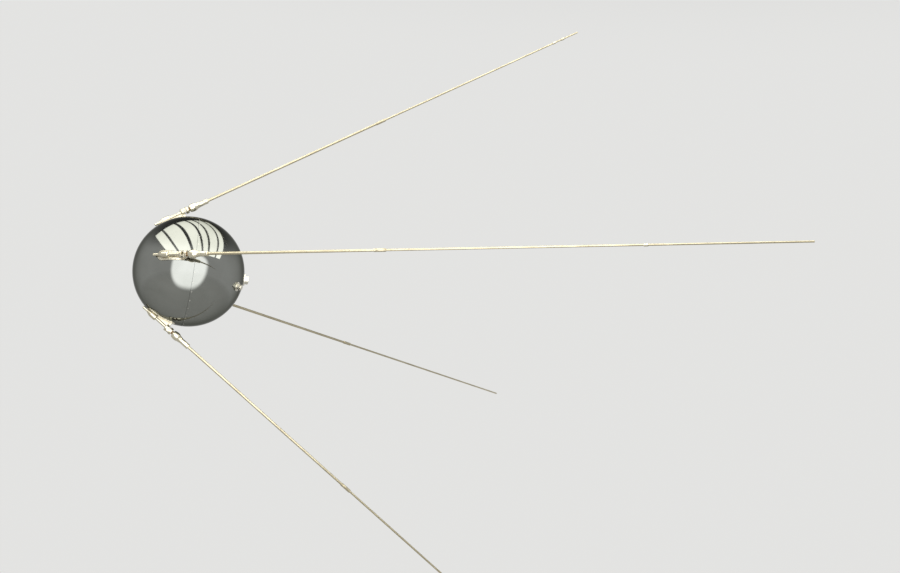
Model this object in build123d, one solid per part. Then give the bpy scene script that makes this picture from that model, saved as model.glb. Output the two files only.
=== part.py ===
# A polished ball-shaped satellite with four swept whip antennas that fold inward at their roots.
# Millimetres. +X runs back along the axis that the antennas sweep round, +Z is up.
# The origin is the middle of the flat face of the rear seat.
from build123d import *
from math import cos, radians, sin, sqrt
import os

# Ball
ball_r = 290.0
shell_wall = 2.0
screen_wall = 1.0
screen_gap = 2.0
seat_play = 0.3

# Joint at the equator
flange_depth = 28.0
flange_width = 12.0
seal_thickness = 1.0
seal_margin = 4.0

# Battery block, an eight-sided nut, and the plate that holds it
battery_flats = 350.0
battery_length = 250.0
battery_bore_r = 60.0
carrier_thickness = 8.0
carrier_margin = 13.0

# Seat at the rear pole
seat_height = 24.0
seat_r = 22.5
seat_flange_r = 31.0
seat_flange_height = 6.0
seat_bore_r = 10.0
seat_bore_depth = 14.0
seat_chamfer = 1.5

# Filling valve on the rear half, between the near and the down antenna
valve_tilt = 33.5
valve_turn = 119.0
valve_flange_r = 24.0
valve_flange_height = 5.0
valve_neck_r = 15.0
valve_height = 22.0
valve_cap_flats = 22.0
valve_cap_height = 7.0

# Antenna line: it leaves the ball at a slant and stands a little off the surface
sweep_angle = 35.0
line_height = 11.0
short_reach = 2782.0
long_reach = 3198.0

# Foot of an antenna, with stations counted along its line from the nearest point to the ball
stem_front = -42.0
stem_r = 7.0
knob_front = -12.0
knob_flare = 24.0
knob_back = 48.0
knob_r = 16.0
knob_edge = 6.0
arm_r = 8.0
plate_front_r = 27.0
plate_back_r = 19.0
plate_margin = 9.0
plate_rise = 3.0
cutout_play = 2.0
web_thickness = 7.0

# Hinge
pivot_at = 133.5
ear_r = 6.5
ear_thickness = 7.0
tongue_width = 12.0
side_play = 0.3
pin_r = 3.5
pin_play = 0.05
pin_head_r = 5.5
pin_head_height = 3.0
hinge_gap = 1.0
ring_r = 19.0
ring_length = 13.0
ring_edge = 1.5
leg_width = 20.0
leg_edge = 3.0

# Outer heels of the fork's ears, the stop that the knuckle's ring rests on
heel_height = 14.0
heel_edge = 2.0

# Spring between the two rings, on the side of the ball
spring_pin_r = 3.2
spring_pin_length = 3.0
spring_pin_drop = 13.5

# Insulator, flared cup and sleeve
insulator_r = 10.0
insulator_length = 9.0
cup_front_r = 17.0
cup_belly_r = 22.0
cup_back_r = 15.0
cup_belly_length = 34.0
cup_length = 56.0
sleeve_r = 14.0
sleeve_length = 52.0
sleeve_edge = 3.0

# Rods
rod_root_r = 7.5
rod_joint_r = 6.5
whip_root_r = 5.5
whip_tip_r = 4.5
rod_play = 0.1
ferrule_wall = 2.0
ferrule_length = 60.0
socket_depth = 25.0
collar_wall = 2.0
collar_length = 16.0

# name, turn about the axis from straight up, reach along the line, station of the rod joint,
# how far the small collars lie back from the tip
antennas = (
    ("up", 0.0, short_reach, 1400.0, (178.0, 114.0)),
    ("near", 90.0, long_reach, 1219.0, (732.0,)),
    ("down", 180.0, short_reach, 1400.0, ()),
    ("far", 270.0, long_reach, 1614.0, ()),
)

# Worked out from the sizes above
front_shell_r = ball_r - screen_wall - screen_gap
flange_inner_r = ball_r - flange_depth
half_seal = seal_thickness / 2
flange_face = half_seal + flange_width
ball_centre = Pos(-(ball_r + seat_height), 0, 0)
fork_ring_back = pivot_at - ear_r - hinge_gap
fork_ring_front = fork_ring_back - ring_length
knuckle_ring_front = pivot_at + ear_r + hinge_gap
knuckle_ring_back = knuckle_ring_front + ring_length
cup_front = knuckle_ring_back + insulator_length
cup_back = cup_front + cup_length
sleeve_back = cup_back + sleeve_length
fork_width = tongue_width + 2 * (side_play + ear_thickness)


def wall_section(outer_r, wall, from_x, to_x):
    """Half section of a round wall about the ball's centre, above the X axis."""
    strip = Pos(from_x, 0) * Rectangle(to_x - from_x, outer_r, align=(Align.MIN, Align.MIN))
    return (Circle(outer_r) - Circle(outer_r - wall)) & strip


def flange_section(from_x, to_x):
    """Half section of an inward flange whose rim follows the ball."""
    strip = Pos(from_x, flange_inner_r) * Rectangle(
        to_x - from_x, flange_depth, align=(Align.MIN, Align.MIN)
    )
    return strip & Circle(ball_r)


def spun(section):
    """Turn a half section about X, with its seam between two antennas."""
    return Rot(45, 0, 0) * revolve(section, axis=Axis.X)


def bar(radius, front, back):
    """Round bar along X between two stations."""
    return Pos(front, 0, 0) * Rot(0, 90, 0) * Cylinder(
        radius, back - front, align=(Align.CENTER, Align.CENTER, Align.MIN)
    )


def cone(front_r, back_r, front, back):
    """Round bar along X that tapers from one radius to another."""
    outline = Polyline((front, 0), (front, front_r), (back, back_r), (back, 0), close=True)
    return revolve(make_face(outline), axis=Axis.X)


def local_ball(radius):
    """The ball as an antenna sees it: below the line by the line's height."""
    return Pos(0, 0, -(ball_r + line_height)) * Rot(90, 0, 0) * Sphere(radius)


def antenna_place(turn):
    """X along the antenna's line, Z away from the ball, origin at the nearest point to the ball."""
    slant = radians(sweep_angle)
    out_y = -sin(radians(turn))
    out_z = cos(radians(turn))
    line = (cos(slant), sin(slant) * out_y, sin(slant) * out_z)
    away = (-sin(slant), cos(slant) * out_y, cos(slant) * out_z)
    start = tuple((ball_r + line_height) * part for part in away)
    return Plane(origin=start, x_dir=line, z_dir=away).location


def foot_block(play):
    """The foot plate's shoe-shaped plan as a tall block, larger all round by the play."""
    front = knob_front - plate_margin + plate_front_r
    back = fork_ring_back + plate_margin - plate_back_r
    heel = Pos(front, 0) * Circle(plate_front_r + play)
    toe = Pos(back, 0) * Circle(plate_back_r + play)
    plan = make_hull(heel.edges() + toe.edges())
    height = ball_r / 4
    return Pos(0, 0, -height) * extrude(plan, 2 * height)


def down_block(front, back, width, top):
    """Block from a height above the line down into the ball."""
    return Pos(front, 0, top) * Box(
        back - front, width, top + ball_r / 4, align=(Align.MIN, Align.CENTER, Align.MAX)
    )


def hinge_plate(thickness, middle, front, back):
    """Flat lug on the pivot: a round end at one station and a square one at the other."""
    flat = Pos((front + back) / 2, 0) * Rectangle(abs(back - front), 2 * ear_r)
    lug = extrude(flat + Pos(pivot_at, 0) * Circle(ear_r), thickness / 2, both=True)
    return Pos(0, middle, 0) * Rot(90, 0, 0) * lug


def pivot_bar(radius, length):
    """Round bar on the hinge's axis, centred on the line."""
    return Pos(pivot_at, 0, 0) * Rot(90, 0, 0) * Cylinder(radius, length)


def ring(front, back):
    """Round flange of the hinge, with its corners eased."""
    return fillet(bar(ring_r, front, back).edges().filter_by(GeomType.CIRCLE), ring_edge)


def spring_pin(front, back):
    """Short pin under the line that the hinge's spring sits on."""
    return Pos(0, 0, -spring_pin_drop) * bar(spring_pin_r, front, back)


def make_rear_shell():
    section = wall_section(ball_r, shell_wall, half_seal, ball_r)
    return spun(section + flange_section(half_seal, flange_face))


def make_front_shell():
    section = wall_section(front_shell_r, shell_wall, -front_shell_r, -half_seal)
    return spun(section + flange_section(-flange_face, -half_seal))


def make_front_screen():
    screen = spun(wall_section(ball_r, screen_wall, -ball_r, -flange_face))
    for _, turn, _, _, _ in antennas:
        screen -= antenna_place(turn) * foot_block(cutout_play)
    return screen


def make_seal_ring():
    inner_r = flange_inner_r + seal_margin
    outer_r = ball_r - seal_margin
    return bar(outer_r, -half_seal, half_seal) - bar(inner_r, -half_seal, half_seal)


def octagon_bar(flats, front, back):
    """Eight-sided bar along X between two stations."""
    plan = RegularPolygon(flats / 2, 8, major_radius=False)
    return Pos(front, 0, 0) * Rot(0, 90, 0) * extrude(plan, back - front)


def make_battery_block():
    middle = -flange_face - carrier_thickness / 2
    front = middle - battery_length / 2
    back = middle + battery_length / 2
    return octagon_bar(battery_flats, front, back) - bar(battery_bore_r, front, back)


def make_battery_carrier():
    back = -flange_face
    front = back - carrier_thickness
    outer_r = flange_inner_r + carrier_margin
    plate = bar(outer_r, front, back)
    return plate - octagon_bar(battery_flats + 2 * seat_play, front, back)


def make_rear_seat():
    top = ball_r + seat_height
    body = bar(seat_flange_r, 0, ball_r + seat_flange_height)
    body += bar(seat_r, 0, top)
    body -= bar(seat_bore_r, top - seat_bore_depth, top)
    body -= Rot(0, 90, 0) * Sphere(ball_r + seat_play)
    rim = body.edges().filter_by(GeomType.CIRCLE).group_by(Axis.X)[-1]
    return chamfer(rim, seat_chamfer)


def make_filling_valve():
    top = ball_r + valve_height
    collar = Cylinder(
        valve_flange_r,
        ball_r + valve_flange_height,
        align=(Align.CENTER, Align.CENTER, Align.MIN),
    )
    neck = Cylinder(valve_neck_r, top, align=(Align.CENTER, Align.CENTER, Align.MIN))
    cap_plan = RegularPolygon(valve_cap_flats / 2, 6, major_radius=False)
    cap = Pos(0, 0, top) * extrude(cap_plan, valve_cap_height)
    valve = collar + neck + cap - Rot(90, 0, 0) * Sphere(ball_r + seat_play)
    return Rot(valve_turn, 0, 0) * Rot(0, 90 - valve_tilt, 0) * valve


def make_antenna_base():
    flare_back = knob_front + knob_flare
    knob = bar(knob_r, flare_back, knob_back)
    knob = fillet(knob.edges().filter_by(GeomType.CIRCLE).group_by(Axis.X)[-1], knob_edge)
    knob += cone(stem_r, knob_r, knob_front, flare_back)
    stem = bar(stem_r, stem_front, knob_front)
    stem = fillet(stem.edges().filter_by(GeomType.CIRCLE).group_by(Axis.X)[0], stem_r * 0.6)
    arm = bar(arm_r, knob_back - knob_edge, fork_ring_front)
    plate = foot_block(0) & local_ball(ball_r + plate_rise)
    web = down_block(knob_back - knob_edge, fork_ring_front, web_thickness, 0)
    base = knob + stem + arm + plate + web
    return base - local_ball(front_shell_r + seat_play)


def make_hinge_fork():
    leg = down_block(fork_ring_front, fork_ring_back, leg_width, 0)
    leg = fillet(leg.edges().filter_by(Axis.Z), leg_edge)
    fork = leg + ring(fork_ring_front, fork_ring_back)
    fork -= local_ball(ball_r + plate_rise + seat_play)
    fork += spring_pin(fork_ring_back, fork_ring_back + spring_pin_length)
    heel_back = knuckle_ring_front - seat_play
    for side in (-1, 1):
        middle = side * (fork_width - ear_thickness) / 2
        fork += hinge_plate(ear_thickness, middle, fork_ring_back, pivot_at)
        heel = Pos(fork_ring_back, middle, 0) * Box(
            heel_back - fork_ring_back,
            ear_thickness,
            heel_height,
            align=(Align.MIN, Align.CENTER, Align.MIN),
        )
        far_corner = heel.edges().filter_by(Axis.Y).group_by(Axis.Z)[-1].sort_by(Axis.X)[-1]
        fork += fillet(far_corner, heel_edge)
    return fork - pivot_bar(pin_r + pin_play, 2 * fork_width)


def make_hinge_pin():
    pin = pivot_bar(pin_r, fork_width)
    for side in (-1, 1):
        middle = side * (fork_width + pin_head_height) / 2
        pin += Pos(0, middle, 0) * pivot_bar(pin_head_r, pin_head_height)
    return pin


def make_hinge_knuckle():
    knuckle = ring(knuckle_ring_front, knuckle_ring_back)
    knuckle += hinge_plate(tongue_width, 0, pivot_at, knuckle_ring_front)
    knuckle += spring_pin(knuckle_ring_front - spring_pin_length, knuckle_ring_front)
    return knuckle - pivot_bar(pin_r + pin_play, 2 * fork_width)


def make_insulator():
    return bar(insulator_r, knuckle_ring_back, cup_front)


def make_flared_cup():
    belly = cup_front + cup_belly_length
    rise = (cup_front, cup_front_r)
    crest = (cup_front + cup_belly_length / 2, cup_belly_r)
    fall = (belly, cup_belly_r - (cup_belly_r - cup_front_r) / 4)
    foot = ((belly + cup_back) / 2, (fall[1] + cup_back_r) / 2 - 1)
    outline = [
        Line((cup_front, 0), rise),
        ThreePointArc(rise, crest, fall),
        ThreePointArc(fall, foot, (cup_back, cup_back_r)),
        Line((cup_back, cup_back_r), (cup_back, 0)),
        Line((cup_back, 0), (cup_front, 0)),
    ]
    return revolve(make_face(outline), axis=Axis.X)


def make_sleeve():
    sleeve = bar(sleeve_r, cup_back, sleeve_back)
    end = sleeve.edges().filter_by(GeomType.CIRCLE).group_by(Axis.X)[-1]
    return fillet(end, sleeve_edge) - bar(rod_root_r + rod_play, cup_back, sleeve_back)


def make_rod_lower(joint_at):
    rod = bar(rod_root_r, cup_back, sleeve_back)
    rod += cone(rod_root_r, rod_joint_r, sleeve_back, joint_at)
    ferrule = bar(rod_joint_r + ferrule_wall, joint_at - ferrule_length, joint_at)
    ferrule = fillet(ferrule.edges().filter_by(GeomType.CIRCLE), ferrule_wall / 2)
    return rod + ferrule - bar(whip_root_r + rod_play, joint_at - socket_depth, joint_at)


def make_rod_upper(joint_at, reach, collars):
    root = joint_at - socket_depth
    rod = cone(whip_root_r, whip_tip_r, root, reach)
    for from_tip in collars:
        middle = reach - from_tip
        share = (middle - root) / (reach - root)
        collar_r = whip_root_r + (whip_tip_r - whip_root_r) * share + collar_wall
        rod += bar(collar_r, middle - collar_length / 2, middle + collar_length / 2)
    return rod


os.makedirs("parts", exist_ok=True)


def save(name, shape):
    """Write one sub-part, moved from the ball's centre to the rear seat's face."""
    export_step(ball_centre * shape, f"parts/{name}.step")


save("rear_shell", make_rear_shell())
save("front_shell", make_front_shell())
save("front_screen", make_front_screen())
save("seal_ring", make_seal_ring())
save("battery_block", make_battery_block())
save("battery_carrier", make_battery_carrier())
save("rear_seat", make_rear_seat())
save("filling_valve", make_filling_valve())
for name, turn, reach, joint_at, collars in antennas:
    place = antenna_place(turn)
    save(f"antenna_base_{name}", place * make_antenna_base())
    save(f"hinge_fork_{name}", place * make_hinge_fork())
    save(f"hinge_pin_{name}", place * make_hinge_pin())
    save(f"hinge_knuckle_{name}", place * make_hinge_knuckle())
    save(f"insulator_{name}", place * make_insulator())
    save(f"flared_cup_{name}", place * make_flared_cup())
    save(f"sleeve_{name}", place * make_sleeve())
    save(f"rod_lower_{name}", place * make_rod_lower(joint_at))
    save(f"rod_upper_{name}", place * make_rod_upper(joint_at, reach, collars))
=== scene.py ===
import bpy
import bmesh
import math
from mathutils import Matrix, Vector


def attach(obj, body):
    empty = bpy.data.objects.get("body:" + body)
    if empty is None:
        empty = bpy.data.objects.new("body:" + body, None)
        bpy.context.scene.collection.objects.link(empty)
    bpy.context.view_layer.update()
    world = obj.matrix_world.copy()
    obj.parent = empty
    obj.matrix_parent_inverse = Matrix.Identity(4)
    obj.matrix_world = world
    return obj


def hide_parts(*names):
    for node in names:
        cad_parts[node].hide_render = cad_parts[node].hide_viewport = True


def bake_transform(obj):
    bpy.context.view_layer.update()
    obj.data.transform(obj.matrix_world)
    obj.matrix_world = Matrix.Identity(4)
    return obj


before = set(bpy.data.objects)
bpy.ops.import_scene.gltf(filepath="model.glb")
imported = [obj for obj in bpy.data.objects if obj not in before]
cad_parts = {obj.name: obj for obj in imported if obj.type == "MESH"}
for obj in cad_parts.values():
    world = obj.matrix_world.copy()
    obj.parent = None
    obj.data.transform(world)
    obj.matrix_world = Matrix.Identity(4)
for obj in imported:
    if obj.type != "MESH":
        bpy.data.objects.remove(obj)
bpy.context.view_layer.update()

MM = 0.001

# Camera, in metres and degrees, with its focal length in pixels of the 900 pixel wide frame
BALL_CENTRE = Vector((-0.314, 0.0, 0.0))
CAMERA_FROM_BALL = Vector((-0.5909, -6.9542, -1.8454))
CAMERA_YAW = 16.2237
CAMERA_PITCH = 15.3334
CAMERA_ROLL = 4.5171
CAMERA_SEES = 200.0
FRAME_WIDTH = 900
FOCAL_PIXELS = 1347.5
SENSOR_WIDTH = 36.0

# Ball and its fittings, in millimetres and degrees, as in the CAD model
BALL_R = 290.0
SHELL_WALL = 2.0
SCREEN_WALL = 1.0
FRONT_SHELL_R = 287.0
FLANGE_R = 262.0
FLANGE_FACE = 12.5
HALF_SEAL = 0.5
SEAT_R = 22.5
SEAT_FLANGE_R = 31.0
SEAT_FLANGE_FACE = 296.0
VALVE_TILT = 33.5
VALVE_TURN = 119.0
VALVE_NECK_R = 15.0
VALVE_FLANGE_R = 24.0
VALVE_FLANGE_FACE = 295.0
VALVE_CAP_FACE = 312.0

# Antenna root and rods, in millimetres and degrees, with stations counted along the antenna's
# line from its nearest point to the ball
SWEEP = 35.0
LINE_HEIGHT = 11.0
PLATE_R = 293.0
HEEL_AT, HEEL_R = 6.0, 27.0
TOE_AT, TOE_R = 116.0, 19.0
CUTOUT_PLAY = 2.0
CUTOUT_FLOOR, CUTOUT_TOP = -70.0, 20.0
PIVOT_AT = 133.5
FORK_FRONT, FORK_BACK = 113.0, 126.0
KNUCKLE_FRONT, KNUCKLE_BACK = 141.0, 154.0
SPRING_DROP = 13.5
PIN_HEAD_FACE = 16.3
INSULATOR_R = 10.0
CUP_FRONT, CUP_CREST, CUP_FALL, CUP_BACK = 163.0, 180.0, 197.0, 219.0
CUP_FRONT_R, CUP_CREST_R, CUP_FALL_R, CUP_BACK_R = 17.0, 22.0, 20.75, 15.0
SLEEVE_R, SLEEVE_BACK = 14.0, 271.0
ROD_ROOT_R, ROD_JOINT_R = 7.5, 6.5
ROD_PLAY = 0.1
WHIP_ROOT_R, WHIP_TIP_R = 5.5, 4.5
FERRULE_R, FERRULE_LENGTH = 8.5, 60.0
SOCKET_R, SOCKET_DEPTH = 5.6, 25.0

# name, turn about the axis, reach, station of the rod joint, how far the collars lie from the tip
ANTENNAS = (
    ("up", 0.0, 2782.0, 1400.0, (178.0, 114.0)),
    ("near", 90.0, 3198.0, 1219.0, (732.0,)),
    ("down", 180.0, 2782.0, 1400.0, ()),
    ("far", 270.0, 3198.0, 1614.0, ()),
)

# Screws, spring and collars, in millimetres
SEAM_SCREWS, SEAM_SCREW_AT = 36, 6.5
FLANGE_SCREWS = 6
FOOT_SCREWS = ((4.0, 22.0), (54.0, 18.5), (80.0, 16.5), (106.0, 14.5))
FORK_BOLT_ASIDE, FORK_BOLT_UP = 13.2, 2.0
KNUCKLE_SCREWS, KNUCKLE_SCREW_RING = 6, 14.2
SET_SCREW_BEFORE_END = 25.0
COIL_R, COIL_WIRE, COIL_TURNS, COIL_END_TURNS = 4.0, 1.3, 3.0, 0.8
COLLAR_RISE, COLLAR_LENGTH = 2.8, 20.0

# Meshes, in degrees and millimetres: the angle that counts as an edge, how near the ball's wall
# a point has to lie to be on it, and how squarely a face on it looks away from the centre
SHARP_ANGLE = 32.0
ON_WALL, LOOKS_AWAY = 0.02, 0.9
BALL_SIDES, HOLE_STEPS = 288, 32
COIL_STEPS, COIL_SIDES = 26, 10
NUT_SIDES = 48

# Metal, in waves per metre: how fine its hairlines, specks and ripples are
HAIR_WAVES, HAIR_STRETCH, HAIR_HALF = 60.0, (1.0, 9.0, 0.35), 0.012
SPECKS_PER_PATCH = 9
RIPPLE_WAVES = 7.0

# Light, in metres from the ball's centre and degrees. The strips overhead, which the ball
# mirrors, spread like a fan from a point behind it.
BACKDROP = (1.0, 1.0, 0.985)
BACKDROP_PALE, BACKDROP_DIM = 0.77, 0.14
DIM_FROM, DIM_TO = 25.0, 55.0
FLOOR_Z = -1.93
FLOOR_HALF, FLOOR_CELLS = 40.0, 8
FLOOR_COLOURS = (0.63, 0.63, 0.61), (0.68, 0.68, 0.665)
FLOOR_FADE = (2.5, 9.0)
WORLD_LIGHT = 0.80
KEY_AT, KEY_WIDTH, KEY_RADIANCE = (-0.6, -1.2, 4.5), 5.0, 1.5
STRIP_RADIANCE, FRONT_RADIANCE = 3.4, 2.6
STRIP_TINT = (1.0, 0.99, 0.90)
STRIP_HEIGHT = 3.4
STRIP_APEX = (-1.6, 5.0)
STRIP_FRONT, STRIP_BACK = 3.7, 13.0
STRIPS = ((-28.0, -13.4), (-10.3, 5.0), (8.0, 17.0), (19.0, 24.0), (26.0, 34.0), (36.0, 42.0))
STRIP_PANEL = ((-7.8, -8.2), (7.2, 2.4))
FRONT_MIDDLE, FRONT_WIDTH = -0.30, 5.2
FRONT_FOOT, FRONT_HEAD = (-1.35, -1.86), (-3.4, 1.5)
FRONT_NARROWS, FRONT_SQUARE, FRONT_FADES_FROM = 0.45, 3.0, 0.72


# Meshes
def make_mesh(name, verts, faces):
    """Mesh from millimetre points, smooth except where it turns by more than the sharp angle."""
    mesh = bpy.data.meshes.new(name)
    mesh.from_pydata([tuple(MM * part for part in vert) for vert in verts], [], faces)
    work = bmesh.new()
    work.from_mesh(mesh)
    bmesh.ops.recalc_face_normals(work, faces=work.faces)
    work.to_mesh(mesh)
    work.free()
    mesh.shade_smooth()
    mesh.set_sharp_from_angle(angle=math.radians(SHARP_ANGLE))
    return mesh


def spin(outline, segments, loop=False):
    """Points and faces of an outline turned about X. A point is (station, radius) or, for a
    ring with flats, (station, half the width over the flats, number of flats)."""
    verts, faces, rings = [], [], []
    for station, radius, *flats in outline:
        if radius == 0:
            rings.append([len(verts)] * segments)
            verts.append((station, 0.0, 0.0))
            continue
        rings.append(range(len(verts), len(verts) + segments))
        for k in range(segments):
            turn = math.tau * k / segments
            reach = radius
            if flats:
                share = math.tau / flats[0]
                reach = radius / math.cos(turn % share - share / 2)
            verts.append((station, -reach * math.sin(turn), reach * math.cos(turn)))
    following = rings[1:] + (rings[:1] if loop else [])
    for near, far in zip(rings, following):
        for k in range(segments):
            m = (k + 1) % segments
            face = list(dict.fromkeys((near[k], near[m], far[m], far[k])))
            if len(face) > 2:
                faces.append(face)
    return verts, faces


def swing(centre, near, far, share):
    """Point on a round path about a centre, a share of the way from one spoke to another."""
    return tuple(centre + near.slerp(far, share).normalized() * near.length)


def eased(corners, steps=4):
    """Round the corners of an outline. A corner is (station, radius), or with its rounding
    (station, radius, rounding)."""
    outline = []
    for i, (station, radius, *rounding) in enumerate(corners):
        corner = Vector((station, radius))
        if not rounding:
            outline.append(tuple(corner))
            continue
        to_last = (Vector(corners[i - 1][:2]) - corner).normalized()
        to_next = (Vector(corners[i + 1][:2]) - corner).normalized()
        half = to_last.angle(to_next) / 2
        reach = rounding[0] / math.tan(half)
        centre = corner + (to_last + to_next).normalized() * rounding[0] / math.sin(half)
        from_spoke = corner + to_last * reach - centre
        to_spoke = corner + to_next * reach - centre
        for k in range(steps + 1):
            outline.append(swing(centre, from_spoke, to_spoke, k / steps))
    return outline


def groove(at, radius, depth, mouth=0.5, floor=0.5, rounding=(0.15, 0.15)):
    """Corners of a groove in an outline: half its width, and its rounding, at mouth and floor."""
    at_mouth, at_floor = rounding
    return [
        (at - mouth, radius, at_mouth), (at - floor, radius - depth, at_floor),
        (at + floor, radius - depth, at_floor), (at + mouth, radius, at_mouth),
    ]


def arc_through(first, middle, last, steps):
    """Points of the arc through three points of an outline."""
    ax, ay = first
    bx, by = middle
    cx, cy = last
    d = 2 * (ax * (by - cy) + bx * (cy - ay) + cx * (ay - by))
    a2, b2, c2 = ax * ax + ay * ay, bx * bx + by * by, cx * cx + cy * cy
    centre = Vector((
        (a2 * (by - cy) + b2 * (cy - ay) + c2 * (ay - by)) / d,
        (a2 * (cx - bx) + b2 * (ax - cx) + c2 * (bx - ax)) / d,
    ))
    spokes = [Vector(point) - centre for point in (first, middle, last)]
    points = []
    for near, far in zip(spokes, spokes[1:]):
        points += [swing(centre, near, far, k / steps) for k in range(steps)]
    return points + [last]


def ball_arc(radius, from_x, to_x, steps):
    """Points of an outline that follows a ball between two stations."""
    first, last = math.acos(from_x / radius), math.acos(to_x / radius)
    points = []
    for k in range(steps + 1):
        angle = first + (last - first) * k / steps
        height = radius * math.sin(angle)
        points.append((radius * math.cos(angle), 0.0 if height < 1e-6 else height))
    return points


def placed(parts):
    """Join copies of small parts: each is (points, faces, matrix in millimetres)."""
    verts, faces = [], []
    for part_verts, part_faces, matrix in parts:
        start = len(verts)
        verts += [tuple(matrix @ Vector(vert)) for vert in part_verts]
        faces += [[start + i for i in face] for face in part_faces]
    return verts, faces


def pointing(direction, at):
    """Matrix that turns X to a direction and moves the origin to a point."""
    turn = Vector(direction).to_track_quat("X", "Z").to_matrix().to_4x4()
    return Matrix.Translation(at) @ turn


def antenna_place(turn):
    """X along an antenna's line, Z away from the ball, origin at the line's nearest point to it."""
    slant, turn = math.radians(SWEEP), math.radians(turn)
    out = Vector((0, -math.sin(turn), math.cos(turn)))
    ahead = Vector((1, 0, 0))
    line = ahead * math.cos(slant) + out * math.sin(slant)
    away = out * math.cos(slant) - ahead * math.sin(slant)
    side = away.cross(line)
    start = BALL_CENTRE + away * (BALL_R + LINE_HEIGHT) * MM
    place = Matrix((line, side, away)).transposed().to_4x4()
    return Matrix.Translation(start) @ place


def add_object(name, data, place=None):
    made = bpy.data.objects.new(name, data)
    bpy.context.scene.collection.objects.link(made)
    if place:
        made.matrix_world = place
    return made


def add_piece(mesh, place, body, slot, material, *nodes):
    """Piece of the object that rides on a body and stands in for the named CAD nodes."""
    mesh.materials.append(material)
    piece = add_object(mesh.name, mesh, place)
    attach(piece, body)
    if nodes:
        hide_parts(*nodes)


# Materials
def add_node(tree, kind, inputs=None, **settings):
    made = tree.nodes.new(kind)
    for key, value in settings.items():
        setattr(made, key, value)
    for key, value in (inputs or {}).items():
        if isinstance(value, bpy.types.NodeSocket):
            tree.links.new(value, made.inputs[key])
        else:
            made.inputs[key].default_value = value
    return made


def maths(tree, operation, *values):
    return add_node(
        tree, "ShaderNodeMath", dict(enumerate(values)), operation=operation).outputs[0]


def noise(tree, where, scale, stretch=(1, 1, 1), detail=4.0, distortion=0.0):
    """Noise in object space, in waves per metre, drawn out along the axes with a small stretch."""
    mapping = add_node(tree, "ShaderNodeMapping", {"Vector": where, "Scale": stretch})
    return add_node(
        tree,
        "ShaderNodeTexNoise",
        {"Vector": mapping.outputs[0], "Scale": scale, "Detail": detail, "Distortion": distortion},
    ).outputs["Fac"]


def ramp(tree, value, low, high, to_low=0.0, to_high=1.0, curve="LINEAR"):
    return add_node(
        tree,
        "ShaderNodeMapRange",
        {"Value": value, "From Min": low, "From Max": high, "To Min": to_low, "To Max": to_high},
        interpolation_type=curve,
    ).outputs[0]


def blend_colour(tree, share, low, high):
    inputs = {0: share}
    for key, value in ((6, low), (7, high)):
        inputs[key] = value if isinstance(value, bpy.types.NodeSocket) else (*value, 1)
    return add_node(tree, "ShaderNodeMix", inputs, data_type="RGBA").outputs[2]


def bump(tree, height, depth, over=None):
    """Normal of a surface that rises by a depth in millimetres, over another such normal."""
    inputs = {"Strength": 1.0, "Distance": depth * MM, "Height": height}
    if over:
        inputs["Normal"] = over
    return add_node(tree, "ShaderNodeBump", inputs).outputs[0]


def new_material(name):
    material = bpy.data.materials.new(name)
    material.use_nodes = True
    tree = material.node_tree
    shader = tree.nodes["Principled BSDF"]
    where = add_node(tree, "ShaderNodeTexCoord").outputs["Object"]
    return material, tree, shader, where


def metal(name, colour, stain, roughness, grain, stretch=(1, 1, 1), depth=0.02, edge_tint=None,
          patch=14.0, scratch=0.25, ripple=0.0, mottle=0.4):
    """Bare metal: stains between two colours, uneven polish, a fine grain that the stretch draws
    out into lines, hairline scratches, and a slow ripple where the sheet was spun. Grain and
    patch are in waves per metre, depth and ripple in millimetres."""
    material, tree, shader, where = new_material(name)
    cloud = noise(tree, where, patch, detail=6.0, distortion=0.6)
    speck = noise(tree, where, patch * SPECKS_PER_PATCH, detail=3.0)
    lines = noise(tree, where, grain, stretch, detail=3.0)
    hair = noise(tree, where, HAIR_WAVES, HAIR_STRETCH, detail=2.0, distortion=0.4)
    crossing = ramp(tree, maths(tree, "SUBTRACT", hair, 0.5), -HAIR_HALF, HAIR_HALF)
    aside = maths(tree, "ABSOLUTE", maths(tree, "SUBTRACT", crossing, 0.5))
    hairline = maths(tree, "MULTIPLY", maths(tree, "SUBTRACT", 0.5, aside), scratch)

    base = blend_colour(tree, ramp(tree, cloud, 0.35, 0.72), colour, stain)
    base = blend_colour(tree, ramp(tree, speck, 0.3, 0.7, 0.0, mottle), base, stain)
    tree.links.new(base, shader.inputs["Base Color"])

    low, high = roughness
    polish = ramp(tree, cloud, 0.3, 0.75, low, high)
    for more in (
        maths(tree, "MULTIPLY", speck, (high - low) * 0.3),
        maths(tree, "MULTIPLY", hairline, 0.3),
        ramp(tree, lines, 0.3, 0.7, 0.0, (high - low) * 0.4),
    ):
        polish = maths(tree, "ADD", polish, more)
    tree.links.new(polish, shader.inputs["Roughness"])

    wave = bump(tree, noise(tree, where, RIPPLE_WAVES, detail=1.0), ripple) if ripple else None
    fine = bump(tree, maths(tree, "SUBTRACT", lines, hairline), depth, wave)
    tree.links.new(fine, shader.inputs["Normal"])
    shader.inputs["Metallic"].default_value = 1.0
    if edge_tint:
        shader.inputs["Specular Tint"].default_value = (*edge_tint, 1)
    return material


def moulded(name, colour, stain, roughness, grain, stretch=(1, 1, 1), depth=0.1, patch=30.0):
    """Rubber or moulded plastic: cloudy colour, a grain in its surface, uneven sheen."""
    material, tree, shader, where = new_material(name)
    cloud = noise(tree, where, patch, detail=5.0)
    lines = noise(tree, where, grain, stretch)
    base = blend_colour(tree, ramp(tree, cloud, 0.3, 0.7), colour, stain)
    base = blend_colour(tree, ramp(tree, lines, 0.45, 0.7, 0.0, 0.5), base, stain)
    tree.links.new(base, shader.inputs["Base Color"])
    tree.links.new(ramp(tree, lines, 0.25, 0.75, *roughness), shader.inputs["Roughness"])
    tree.links.new(bump(tree, lines, depth), shader.inputs["Normal"])
    return material


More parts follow.
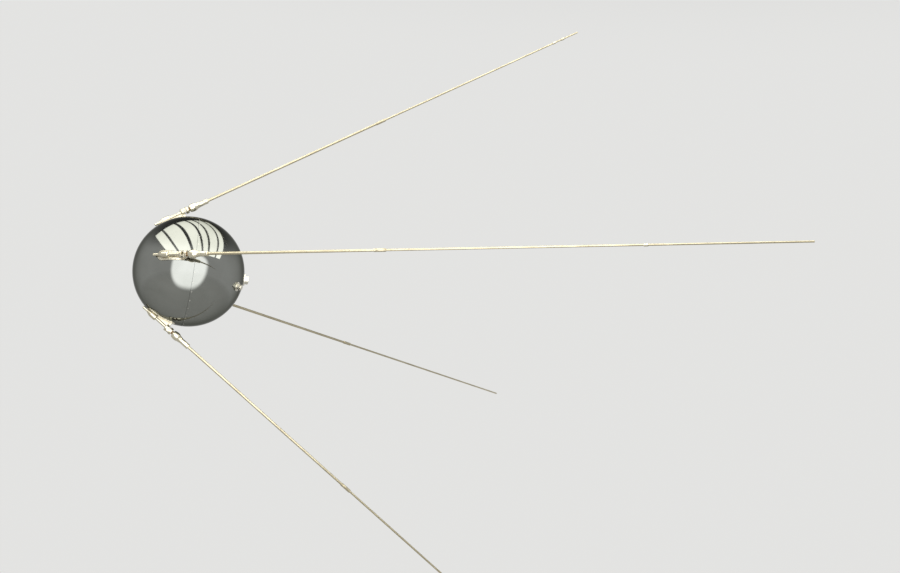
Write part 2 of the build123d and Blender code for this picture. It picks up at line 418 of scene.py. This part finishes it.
# Each: name, colour, stain, least and most roughness, grain and stretch. The grain runs round
# a turned piece and along a drawn one.
TURNED = (1.0, 0.03, 0.03)
DRAWN = (0.012, 1.0, 1.0)
# Painted shade: the ball's colour, stain and edge tint are set far darker than polished metal, so
# the ball looks as if it mirrored dim surroundings.
mirror = metal("mirror_polish_painted_dark", (0.25, 0.257, 0.243), (0.215, 0.222, 0.208), (0.025, 0.07), 900.0,
               depth=0.0015, edge_tint=(0.33, 0.33, 0.32), patch=6.0, scratch=0.2, ripple=0.4,
               mottle=0.2)
bright = metal("bright_cast", (0.63, 0.59, 0.475), (0.46, 0.425, 0.33), (0.16, 0.30), 700.0,
               depth=0.012, patch=26.0)
turned = metal("bright_turned", (0.65, 0.61, 0.495), (0.50, 0.465, 0.36), (0.13, 0.25), 2600.0,
               TURNED, depth=0.012, patch=26.0)
drawn = metal("rod_drawn", (0.53, 0.48, 0.345), (0.40, 0.355, 0.25), (0.20, 0.34), 1500.0,
              DRAWN, depth=0.012, patch=9.0)
machined = metal("seat_machined", (0.68, 0.66, 0.59), (0.52, 0.50, 0.43), (0.15, 0.28), 2200.0,
                 TURNED, depth=0.012, patch=30.0)
steel = metal("pin_ground", (0.56, 0.55, 0.52), (0.42, 0.41, 0.38), (0.18, 0.32), 1600.0,
              depth=0.01, patch=60.0)
dark_steel = metal("spring_blued", (0.20, 0.20, 0.22), (0.30, 0.25, 0.20), (0.22, 0.38), 1800.0,
                   depth=0.01, patch=70.0)
screw_steel = metal("screw_steel", (0.50, 0.49, 0.46), (0.36, 0.35, 0.32), (0.20, 0.36), 1800.0,
                    depth=0.01, patch=90.0)
satin = metal("inner_satin", (0.62, 0.62, 0.60), (0.50, 0.50, 0.47), (0.35, 0.50), 500.0,
              depth=0.03, patch=12.0)
case = metal("battery_case", (0.45, 0.46, 0.47), (0.36, 0.37, 0.37), (0.38, 0.52), 400.0,
             depth=0.03, patch=12.0)
rubber = moulded("seal_rubber", (0.022, 0.021, 0.020), (0.05, 0.048, 0.045), (0.55, 0.8), 900.0)
resin = moulded("insulator_resin", (0.47, 0.30, 0.13), (0.34, 0.20, 0.08), (0.26, 0.48), 1400.0,
                (1.0, 0.15, 0.15), depth=0.05, patch=60.0)


# Ball
hub = Matrix.Translation(BALL_CENTRE)
REAR_INNER_R = BALL_R - SHELL_WALL
FRONT_INNER_R = FRONT_SHELL_R - SHELL_WALL
SCREEN_INNER_R = BALL_R - SCREEN_WALL

rear_outline = [
    *ball_arc(REAR_INNER_R, REAR_INNER_R, FLANGE_FACE, steps=30),
    (FLANGE_FACE, FLANGE_R),
    (HALF_SEAL, FLANGE_R),
    *ball_arc(BALL_R, HALF_SEAL, BALL_R, steps=80),
]
front_outline = [
    *ball_arc(FRONT_SHELL_R, -FRONT_SHELL_R, -FLANGE_FACE, steps=40),
    *ball_arc(BALL_R, -FLANGE_FACE, -HALF_SEAL, steps=4),
    (-HALF_SEAL, FLANGE_R),
    (-FLANGE_FACE, FLANGE_R),
    *ball_arc(FRONT_INNER_R, -FLANGE_FACE, -FRONT_INNER_R, steps=30),
]
screen_outline = [
    *ball_arc(BALL_R, -BALL_R, -FLANGE_FACE, steps=76),
    *ball_arc(SCREEN_INNER_R, -FLANGE_FACE, -SCREEN_INNER_R, steps=76),
]


def true_normals(mesh, radii):
    """Give each corner on one of the round walls the ball's own normal, for a clean mirror."""
    wall_of = {}
    for vert in mesh.vertices:
        reach = vert.co.length / MM
        wall = min(radii, key=lambda radius: abs(radius - reach))
        wall_of[vert.index] = wall if abs(wall - reach) < ON_WALL else None
    normals = []
    for face in mesh.polygons:
        walls = {wall_of[i] for i in face.vertices}
        outward = face.normal.dot(face.center.normalized())
        round_face = len(walls) == 1 and None not in walls and abs(outward) > LOOKS_AWAY
        for i in face.vertices:
            away = mesh.vertices[i].co.normalized() * (1 if outward > 0 else -1)
            normals.append(away if round_face else face.normal)
    mesh.normals_split_custom_set(normals)


def shoe_prism(play, low, high):
    """The foot plate's plan between two heights, larger all round by the play."""
    heel, toe = HEEL_R + play, TOE_R + play
    tangent = math.acos((HEEL_R - TOE_R) / (TOE_AT - HEEL_AT))
    plan = []
    for middle, radius, first, last in (
        (TOE_AT, toe, -tangent, tangent), (HEEL_AT, heel, tangent, math.tau - tangent)
    ):
        for k in range(HOLE_STEPS + 1):
            angle = first + (last - first) * k / HOLE_STEPS
            plan.append((middle + radius * math.cos(angle), radius * math.sin(angle)))
    count = len(plan)
    verts = [(s, w, low) for s, w in plan] + [(s, w, high) for s, w in plan]
    faces = [list(range(count))[::-1], list(range(count, 2 * count))]
    faces += [[k, (k + 1) % count, count + (k + 1) % count, count + k] for k in range(count)]
    return verts, faces


def cut_screen():
    """The screen with a hole round each foot plate."""
    screen = add_object("screen_blank", make_mesh("screen", *spin(screen_outline, BALL_SIDES)))
    holes = []
    for _, turn, *_ in ANTENNAS:
        place = hub.inverted() @ antenna_place(turn)
        place.translation /= MM
        holes.append((*shoe_prism(CUTOUT_PLAY, CUTOUT_FLOOR, CUTOUT_TOP), place))
    cutter = add_object("screen_cutter", make_mesh("holes", *placed(holes)))
    cut = screen.modifiers.new("holes", "BOOLEAN")
    cut.operation = "DIFFERENCE"
    cut.solver = "EXACT"
    cut.object = cutter
    evaluated = screen.evaluated_get(bpy.context.evaluated_depsgraph_get())
    mesh = bpy.data.meshes.new_from_object(evaluated)
    for blank in (screen, cutter):
        bpy.data.objects.remove(blank)
    mesh.name = "polished_screen"
    return mesh


for mesh, radii, slot, node in (
    (make_mesh("polished_rear", *spin(rear_outline, BALL_SIDES)),
     (BALL_R, REAR_INNER_R), "polished_shell", "rear_shell"),
    (make_mesh("polished_rim", *spin(front_outline, BALL_SIDES)),
     (BALL_R, FRONT_SHELL_R, FRONT_INNER_R), "inner_shell", "front_shell"),
    (cut_screen(), (BALL_R, SCREEN_INNER_R), "polished_screen", "front_screen"),
):
    true_normals(mesh, radii)
    add_piece(mesh, hub, "hull", slot, mirror, node)


# Screws
def screw(radius, height, socket, depth=1.2, bevel=0.5, sides=24):
    """Round-headed screw on the plane X = 0, with a six-sided socket."""
    return spin([
        (-1.0, 0.0),
        (-1.0, radius),
        (height - bevel, radius),
        (height - bevel * 0.3, radius - bevel * 0.3),
        (height, radius - bevel),
        (height, socket * 1.22),
        (height - 0.15, socket, 6),
        (height - depth, socket, 6),
        (height - depth, 0.0),
    ], sides)


def nut(flats, height, bolt_r):
    """Six-sided nut with eased corners and the end of its bolt."""
    half = flats / 2
    return spin([
        (0.0, 0.0),
        (0.0, half * 1.02),
        (0.4, half, 6),
        (height - 0.9, half, 6),
        (height, half),
        (height, bolt_r + 0.35),
        (height - 0.5, bolt_r),
        (height + 0.9, bolt_r),
        (height + 1.3, bolt_r - 0.5),
        (height + 1.3, 0.0),
    ], NUT_SIDES)


def screw_circle(part, count, station, reach, first=0.0):
    """Copies of a screw round X at a station. The first may lie part of a step from the top."""
    circle = []
    for k in range(count):
        turn = math.tau * (k + first) / count
        at = (station, -reach * math.sin(turn), reach * math.cos(turn))
        circle.append((*part, Matrix.Translation(at)))
    return circle


def seam_screws():
    """Flush screws in the rear half's rim, just behind the joint at the equator."""
    parts = []
    reach = math.sqrt(BALL_R * BALL_R - SEAM_SCREW_AT * SEAM_SCREW_AT)
    for k in range(SEAM_SCREWS):
        turn = math.tau * (k + 0.5) / SEAM_SCREWS
        point = Vector((SEAM_SCREW_AT, -reach * math.sin(turn), reach * math.cos(turn)))
        flush = screw(radius=3.1, height=0.25, socket=1.4, bevel=0.2)
        parts.append((*flush, pointing(point.normalized(), point)))
    return parts


def valve_washer():
    back, front = VALVE_CAP_FACE - 1.6, VALVE_CAP_FACE - 0.1
    inner, outer = VALVE_NECK_R - 2.0, VALVE_NECK_R + 0.9
    outline = eased([(back, inner), (back, outer, 0.4), (front, outer, 0.4), (front, inner)])
    return spin(outline, 72, loop=True)


tilt, turn = math.radians(VALVE_TILT), math.radians(VALVE_TURN)
valve_out = Vector((
    math.cos(tilt), -math.sin(tilt) * math.sin(turn), math.sin(tilt) * math.cos(turn)
))
valve_place = hub @ pointing(valve_out, (0, 0, 0))
for name, parts, place in (
    ("seam_screws", seam_screws(), hub),
    ("seat_screws", screw_circle(
        screw(radius=2.9, height=1.8, socket=1.4), FLANGE_SCREWS, SEAT_FLANGE_FACE,
        (SEAT_R + SEAT_FLANGE_R) / 2, first=0.5), hub),
    ("valve_screws", screw_circle(
        screw(radius=2.5, height=1.5, socket=1.2, depth=0.9), FLANGE_SCREWS, VALVE_FLANGE_FACE,
        (VALVE_NECK_R + VALVE_FLANGE_R) / 2), valve_place),
):
    add_piece(make_mesh(name, *placed(parts)), place, "hull", "pin_steel", screw_steel)
add_piece(make_mesh("valve_washer", *valve_washer()), valve_place, "hull", "seal_rubber", rubber)


# Antennas
def insulator_outline():
    front, back, radius = KNUCKLE_BACK, CUP_FRONT, INSULATOR_R
    corners = [(front, 0.0), (front, radius, 0.4)]
    for at in (front + 3.0, front + 6.0):
        corners += groove(at, radius, 0.9, mouth=0.7, floor=0.4, rounding=(0.2, 0.2))
    return eased(corners + [(back, radius, 0.4), (back, 0.0)], 2)


def cup_outline():
    lip, crest, fall = (CUP_FRONT, CUP_FRONT_R), (CUP_CREST, CUP_CREST_R), (CUP_FALL, CUP_FALL_R)
    waist = ((CUP_FALL + CUP_BACK) / 2, (CUP_FALL_R + CUP_BACK_R) / 2 - 1)
    belly = arc_through(lip, crest, fall, 12)
    tail = arc_through(fall, waist, (CUP_BACK, CUP_BACK_R), 10)
    return [
        (CUP_FRONT, 0.0), (CUP_FRONT, CUP_FRONT_R - 0.7), (CUP_FRONT + 0.15, CUP_FRONT_R - 0.25),
        *belly[1:], *tail[1:-1],
        (CUP_BACK - 0.25, CUP_BACK_R), (CUP_BACK, CUP_BACK_R - 0.25), (CUP_BACK, 0.0),
    ]


def sleeve_outline():
    corners = [(CUP_BACK, ROD_ROOT_R + ROD_PLAY), (CUP_BACK, SLEEVE_R, 0.5)]
    for at in (CUP_BACK + 5, CUP_BACK + 8, SLEEVE_BACK - 15, SLEEVE_BACK - 12):
        corners += groove(at, SLEEVE_R, 0.8)
    return eased(corners + [(SLEEVE_BACK, SLEEVE_R, 3.0), (SLEEVE_BACK, ROD_ROOT_R + ROD_PLAY)])


def rod_lower_outline(joint_at):
    ferrule = joint_at - FERRULE_LENGTH
    share = (ferrule - SLEEVE_BACK) / (joint_at - SLEEVE_BACK)
    rod_r = ROD_ROOT_R + (ROD_JOINT_R - ROD_ROOT_R) * share
    corners = [
        (CUP_BACK, 0.0), (CUP_BACK, ROD_ROOT_R), (SLEEVE_BACK, ROD_ROOT_R),
        (ferrule, rod_r), (ferrule, FERRULE_R, 0.9),
    ]
    for at in (ferrule + 6, ferrule + 9, joint_at - 9, joint_at - 6):
        corners += groove(at, FERRULE_R, 0.6)
    corners += [
        (joint_at, FERRULE_R, 0.9), (joint_at, SOCKET_R),
        (joint_at - SOCKET_DEPTH, SOCKET_R), (joint_at - SOCKET_DEPTH, 0.0),
    ]
    return eased(corners, 3)


def rod_upper_outline(joint_at, reach):
    root = joint_at - SOCKET_DEPTH
    return eased([
        (root, 0.0), (root, WHIP_ROOT_R), (reach, WHIP_TIP_R, 2.5), (reach, 0.0)
    ], 5)


def tip_collars(joint_at, reach, collars):
    """Bright rings pushed over the rod, each with a groove round its middle."""
    root = joint_at - SOCKET_DEPTH
    parts = []
    for from_tip in collars:
        middle = reach - from_tip
        front, back = middle - COLLAR_LENGTH / 2, middle + COLLAR_LENGTH / 2
        rod_r = WHIP_ROOT_R + (WHIP_TIP_R - WHIP_ROOT_R) * (middle - root) / (reach - root)
        inner, outer = rod_r - 0.3, rod_r + COLLAR_RISE
        ring = eased([
            (front, inner), (front, outer, 1.0),
            *groove(middle, outer, 0.8, mouth=0.9, rounding=(0.3, 0.1)),
            (back, outer, 1.0), (back, inner),
        ], 5)
        parts.append((*spin(ring, 48, loop=True), Matrix.Identity(4)))
    return parts


def coil(front, back, drop):
    """Compression spring along the line, below it, with closed ends."""
    verts, faces = [], []
    total = COIL_TURNS + 2 * COIL_END_TURNS
    count = int(total * COIL_STEPS)
    slack = (back - front - COIL_WIRE) - 2 * COIL_END_TURNS * COIL_WIRE
    for i in range(count + 1):
        wound = total * i / count
        open_part = min(max(wound - COIL_END_TURNS, 0.0), COIL_TURNS)
        dead = wound - open_part
        station = front + COIL_WIRE / 2 + dead * COIL_WIRE + slack * open_part / COIL_TURNS
        angle = math.tau * wound
        outward = Vector((0, math.cos(angle), math.sin(angle)))
        middle = Vector((station, 0, -drop)) + outward * COIL_R
        for k in range(COIL_SIDES):
            around = math.tau * k / COIL_SIDES
            verts.append(middle + (outward * math.cos(around)
                                   + Vector((1, 0, 0)) * math.sin(around)) * COIL_WIRE / 2)
    for near in range(0, count * COIL_SIDES, COIL_SIDES):
        far = near + COIL_SIDES
        for k in range(COIL_SIDES):
            m = (k + 1) % COIL_SIDES
            faces.append([near + k, near + m, far + m, far + k])
    faces.append(list(range(COIL_SIDES)))
    faces.append([count * COIL_SIDES + k for k in reversed(range(COIL_SIDES))])
    return verts, faces


def foot_screws():
    """Pairs of screws along the foot plate, square to its round face."""
    parts = []
    for station, aside in FOOT_SCREWS:
        for side in (-aside, aside):
            height = math.sqrt(PLATE_R ** 2 - station ** 2 - side ** 2)
            away = Vector((station, side, height)).normalized()
            at = away * PLATE_R - Vector((0, 0, BALL_R + LINE_HEIGHT))
            parts.append((*screw(radius=2.3, height=1.3, socket=1.1, depth=0.9),
                          pointing(away, at)))
    return parts


def fork_hardware():
    """Bolt heads on the fork's ring, the hinge pin's nut and the slotted end of the pin."""
    parts = []
    for side in (-FORK_BOLT_ASIDE, FORK_BOLT_ASIDE):
        parts.append((*screw(radius=2.6, height=1.8, socket=1.3),
                      pointing((-1, 0, 0), (FORK_FRONT, side, FORK_BOLT_UP))))
    parts.append((*nut(flats=9.0, height=3.2, bolt_r=2.2),
                  pointing((0, 1, 0), (PIVOT_AT, PIN_HEAD_FACE, 0))))
    parts.append((*screw(radius=4.6, height=1.2, socket=2.0, depth=0.9, sides=36),
                  pointing((0, -1, 0), (PIVOT_AT, -PIN_HEAD_FACE, 0))))
    return parts


def knuckle_hardware():
    """Small bolt heads round the insulator, and a set screw on each side of the sleeve."""
    parts = screw_circle(
        screw(radius=1.6, height=1.1, socket=0.8, depth=0.7, bevel=0.3, sides=18),
        KNUCKLE_SCREWS, KNUCKLE_BACK, KNUCKLE_SCREW_RING, first=0.5)
    for side in (-1, 1):
        at = (SLEEVE_BACK - SET_SCREW_BEFORE_END, side * (SLEEVE_R - 0.2), 0)
        parts.append((*screw(radius=2.0, height=0.5, socket=1.0, depth=0.4, bevel=0.2, sides=18),
                      pointing((0, side, 0), at)))
    return parts


def build_antenna(name, turn, reach, joint_at, collars):
    place = antenna_place(turn)
    body = f"antenna_{name}"
    for label, outline, sides, slot, material, loop in (
        ("insulator", insulator_outline(), 72, "insulator_resin", resin, False),
        ("flared_cup", cup_outline(), 96, "bright_fittings", turned, False),
        ("sleeve", sleeve_outline(), 72, "bright_fittings", turned, True),
        ("rod_lower", rod_lower_outline(joint_at), 48, "rod_metal", drawn, False),
        ("rod_upper", rod_upper_outline(joint_at, reach), 40, "rod_metal", drawn, False),
    ):
        mesh = make_mesh(f"turned_{label}_{name}", *spin(outline, sides, loop))
        add_piece(mesh, place, body, slot, material, f"{label}_{name}")

    small = [
        ("foot_screws", foot_screws(), "hull", "pin_steel", screw_steel),
        ("fork_hardware", fork_hardware(), "hull", "pin_steel", screw_steel),
        ("knuckle_hardware", knuckle_hardware(), body, "pin_steel", screw_steel),
    ]
    if collars:
        rings = tip_collars(joint_at, reach, collars)
        small.append(("tip_collars", rings, body, "bright_fittings", turned))
    for label, parts, rides, slot, material in small:
        add_piece(make_mesh(f"{label}_{name}", *placed(parts)), place, rides, slot, material)

    mesh = make_mesh(f"hinge_spring_{name}", *coil(FORK_BACK, KNUCKLE_FRONT, SPRING_DROP))
    mesh.materials.append(dark_steel)
    spring = add_object(mesh.name, mesh, place)
    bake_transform(spring)


for antenna in ANTENNAS:
    build_antenna(*antenna)


# CAD nodes that stay
NODE_MATERIALS = {
    "seal_ring": rubber,
    "battery_block": case,
    "battery_carrier": satin,
    "rear_seat": machined,
    "filling_valve": machined,
}
for name, *_ in ANTENNAS:
    NODE_MATERIALS[f"antenna_base_{name}"] = bright
    NODE_MATERIALS[f"hinge_fork_{name}"] = bright
    NODE_MATERIALS[f"hinge_knuckle_{name}"] = bright
    NODE_MATERIALS[f"hinge_pin_{name}"] = steel
for name, material in NODE_MATERIALS.items():
    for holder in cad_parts[name].material_slots:
        holder.material = material


# Floor, light and camera
def seen_ray(tree):
    """1 where the camera, metal or glass looks, 0 for light."""
    path = add_node(tree, "ShaderNodeLightPath").outputs
    seen = path["Is Camera Ray"]
    for kind in ("Is Glossy Ray", "Is Transmission Ray"):
        seen = maths(tree, "MAXIMUM", seen, path[kind])
    return seen


def make_floor():
    """Pale floor that turns into the backdrop far out and lets the view through from below."""
    step = 2 * FLOOR_HALF / FLOOR_CELLS
    row = FLOOR_CELLS + 1
    verts = [(i * step - FLOOR_HALF, j * step - FLOOR_HALF, FLOOR_Z)
             for j in range(row) for i in range(row)]
    faces = [[j * row + i, j * row + i + 1, (j + 1) * row + i + 1, (j + 1) * row + i]
             for j in range(FLOOR_CELLS) for i in range(FLOOR_CELLS)]
    mesh = bpy.data.meshes.new("floor")
    mesh.from_pydata(verts, [], faces)
    material, tree, shader, where = new_material("floor_pale")
    cloud = noise(tree, where, 0.6, detail=5.0)
    grain = noise(tree, where, 60.0, detail=2.0)
    base = blend_colour(tree, cloud, *FLOOR_COLOURS)
    tree.links.new(base, shader.inputs["Base Color"])
    tree.links.new(ramp(tree, grain, 0.3, 0.7, 0.6, 0.75), shader.inputs["Roughness"])
    shader.inputs["Specular IOR Level"].default_value = 0.1

    flat = add_node(tree, "ShaderNodeVectorMath", {0: where, 1: (1, 1, 0)}, operation="MULTIPLY")
    reach = add_node(tree, "ShaderNodeVectorMath", {0: flat.outputs[0]}, operation="LENGTH")
    far = ramp(tree, reach.outputs["Value"], *FLOOR_FADE, curve="SMOOTHSTEP")
    far = maths(tree, "MULTIPLY", far, seen_ray(tree))
    backdrop = add_node(
        tree, "ShaderNodeEmission", {"Color": (*BACKDROP, 1), "Strength": BACKDROP_PALE})
    clear = add_node(tree, "ShaderNodeBsdfTransparent")
    below = add_node(tree, "ShaderNodeNewGeometry").outputs["Backfacing"]
    above = add_node(
        tree, "ShaderNodeMixShader", {0: far, 1: shader.outputs[0], 2: backdrop.outputs[0]})
    mix = add_node(
        tree, "ShaderNodeMixShader", {0: below, 1: above.outputs[0], 2: clear.outputs[0]})
    tree.links.new(mix.outputs[0], tree.nodes["Material Output"].inputs["Surface"])
    mesh.materials.append(material)
    floor = add_object("floor", mesh)


def make_world():
    """Even as light. Where the camera, metal or glass sees it, pale at the horizon and dim
    overhead."""
    world = bpy.data.worlds.new("world")
    bpy.context.scene.world = world
    world.use_nodes = True
    tree = world.node_tree
    where = add_node(tree, "ShaderNodeTexCoord").outputs["Generated"]
    rise = add_node(tree, "ShaderNodeSeparateXYZ", {0: where}).outputs["Z"]
    low, high = (math.sin(math.radians(angle)) for angle in (DIM_FROM, DIM_TO))
    shown = ramp(tree, rise, low, high, BACKDROP_PALE, BACKDROP_DIM, curve="SMOOTHSTEP")
    strength = add_node(tree, "ShaderNodeMix", {0: seen_ray(tree), 2: WORLD_LIGHT, 3: shown})
    background = tree.nodes["Background"]
    background.inputs["Color"].default_value = (*BACKDROP, 1)
    tree.links.new(strength.outputs[0], background.inputs["Strength"])


def add_lamp(name, place, width, length, radiance, mirrored=True):
    """Soft box that shines down its own Z. One kind is there for metal to mirror, the other kind
    is the light that falls on everything. For a pattern it gives its node tree and the place
    on the box."""
    data = bpy.data.lights.new(name, "AREA")
    data.shape = "RECTANGLE"
    data.size, data.size_y = width, length
    data.energy = radiance * math.pi * width * length
    data.use_nodes = True
    lamp = add_object(name, data, place)
    lamp.visible_camera = False
    lamp.visible_glossy = mirrored
    lamp.visible_diffuse = not mirrored
    tree = data.node_tree
    across = add_node(tree, "ShaderNodeNewGeometry").outputs["Parametric"]
    return tree, across


def make_strips():
    """One wide panel overhead that shines only in strips spread like a fan."""
    (left, front), (right, back) = STRIP_PANEL
    width, length = right - left, back - front
    middle = BALL_CENTRE + Vector(((left + right) / 2, (front + back) / 2, STRIP_HEIGHT))
    tree, across = add_lamp("strips", Matrix.Translation(middle), width, length, STRIP_RADIANCE)
    place = add_node(tree, "ShaderNodeVectorMath", {
        0: across,
        1: (width, length, 0),
        2: (left - STRIP_APEX[0], front - STRIP_APEX[1], 0),
    }, operation="MULTIPLY_ADD").outputs[0]
    reach = add_node(tree, "ShaderNodeVectorMath", {0: place}, operation="LENGTH").outputs["Value"]
    parts = add_node(tree, "ShaderNodeSeparateXYZ", {0: place}).outputs
    nearer = maths(tree, "MULTIPLY", parts["Y"], -1.0)
    angle = maths(tree, "ARCTAN2", parts["X"], nearer)
    lit = 0.0
    for strip in STRIPS:
        first, last = (math.radians(edge) for edge in strip)
        aside = maths(tree, "ABSOLUTE", maths(tree, "SUBTRACT", angle, (first + last) / 2))
        lit = maths(tree, "ADD", lit, maths(tree, "LESS_THAN", aside, (last - first) / 2))
    lit = maths(tree, "MULTIPLY", lit, maths(tree, "GREATER_THAN", reach, STRIP_FRONT))
    lit = maths(tree, "MULTIPLY", lit, maths(tree, "LESS_THAN", reach, STRIP_BACK))
    emission = tree.nodes["Emission"]
    emission.inputs["Color"].default_value = (*STRIP_TINT, 1)
    tree.links.new(lit, emission.inputs["Strength"])


def make_front_panel():
    """Large soft panel in front that leans back from the floor. It has round corners, its edges
    fade and it narrows towards its foot."""
    foot, head = (Vector((FRONT_MIDDLE, *point)) for point in (FRONT_FOOT, FRONT_HEAD))
    rise = (head - foot).normalized()
    side = Vector((1, 0, 0))
    turn = Matrix((side, rise, side.cross(rise))).transposed().to_4x4()
    place = Matrix.Translation(BALL_CENTRE + (foot + head) / 2) @ turn
    tree, across = add_lamp(
        "front_panel", place, FRONT_WIDTH, (head - foot).length, FRONT_RADIANCE)
    offset = add_node(tree, "ShaderNodeVectorMath", {
        0: across, 1: (2, 2, 0), 2: (-1, -1, 0)}, operation="MULTIPLY_ADD").outputs[0]
    parts = add_node(tree, "ShaderNodeSeparateXYZ", {0: offset}).outputs
    half_width = ramp(tree, parts["Y"], -1.0, 1.0, FRONT_NARROWS, 1.0)
    aside = maths(tree, "DIVIDE", parts["X"], half_width)
    powers = [maths(tree, "POWER", maths(tree, "ABSOLUTE", part), FRONT_SQUARE)
              for part in (aside, parts["Y"])]
    edge = maths(tree, "POWER", maths(tree, "ADD", *powers), 1 / FRONT_SQUARE)
    lit = ramp(tree, edge, FRONT_FADES_FROM, 1.0, 1.0, 0.0, curve="SMOOTHSTEP")
    tree.links.new(lit, tree.nodes["Emission"].inputs["Strength"])


def make_key():
    place = Matrix.Translation(BALL_CENTRE + Vector(KEY_AT))
    add_lamp("key", place, KEY_WIDTH, KEY_WIDTH, KEY_RADIANCE, mirrored=False)


def make_camera():
    data = bpy.data.cameras.new("camera")
    data.sensor_width = SENSOR_WIDTH
    data.lens = FOCAL_PIXELS / FRAME_WIDTH * SENSOR_WIDTH
    data.clip_end = CAMERA_SEES
    turn = (
        Matrix.Rotation(math.radians(-CAMERA_YAW), 4, "Z")
        @ Matrix.Rotation(math.radians(90 + CAMERA_PITCH), 4, "X")
        @ Matrix.Rotation(math.radians(CAMERA_ROLL), 4, "Z")
    )
    place = Matrix.Translation(BALL_CENTRE + CAMERA_FROM_BALL) @ turn
    bpy.context.scene.camera = add_object("camera", data, place)


make_floor()
make_world()
make_strips()
make_front_panel()
make_key()
make_camera()

bpy.context.scene.view_settings.view_transform = "Standard"
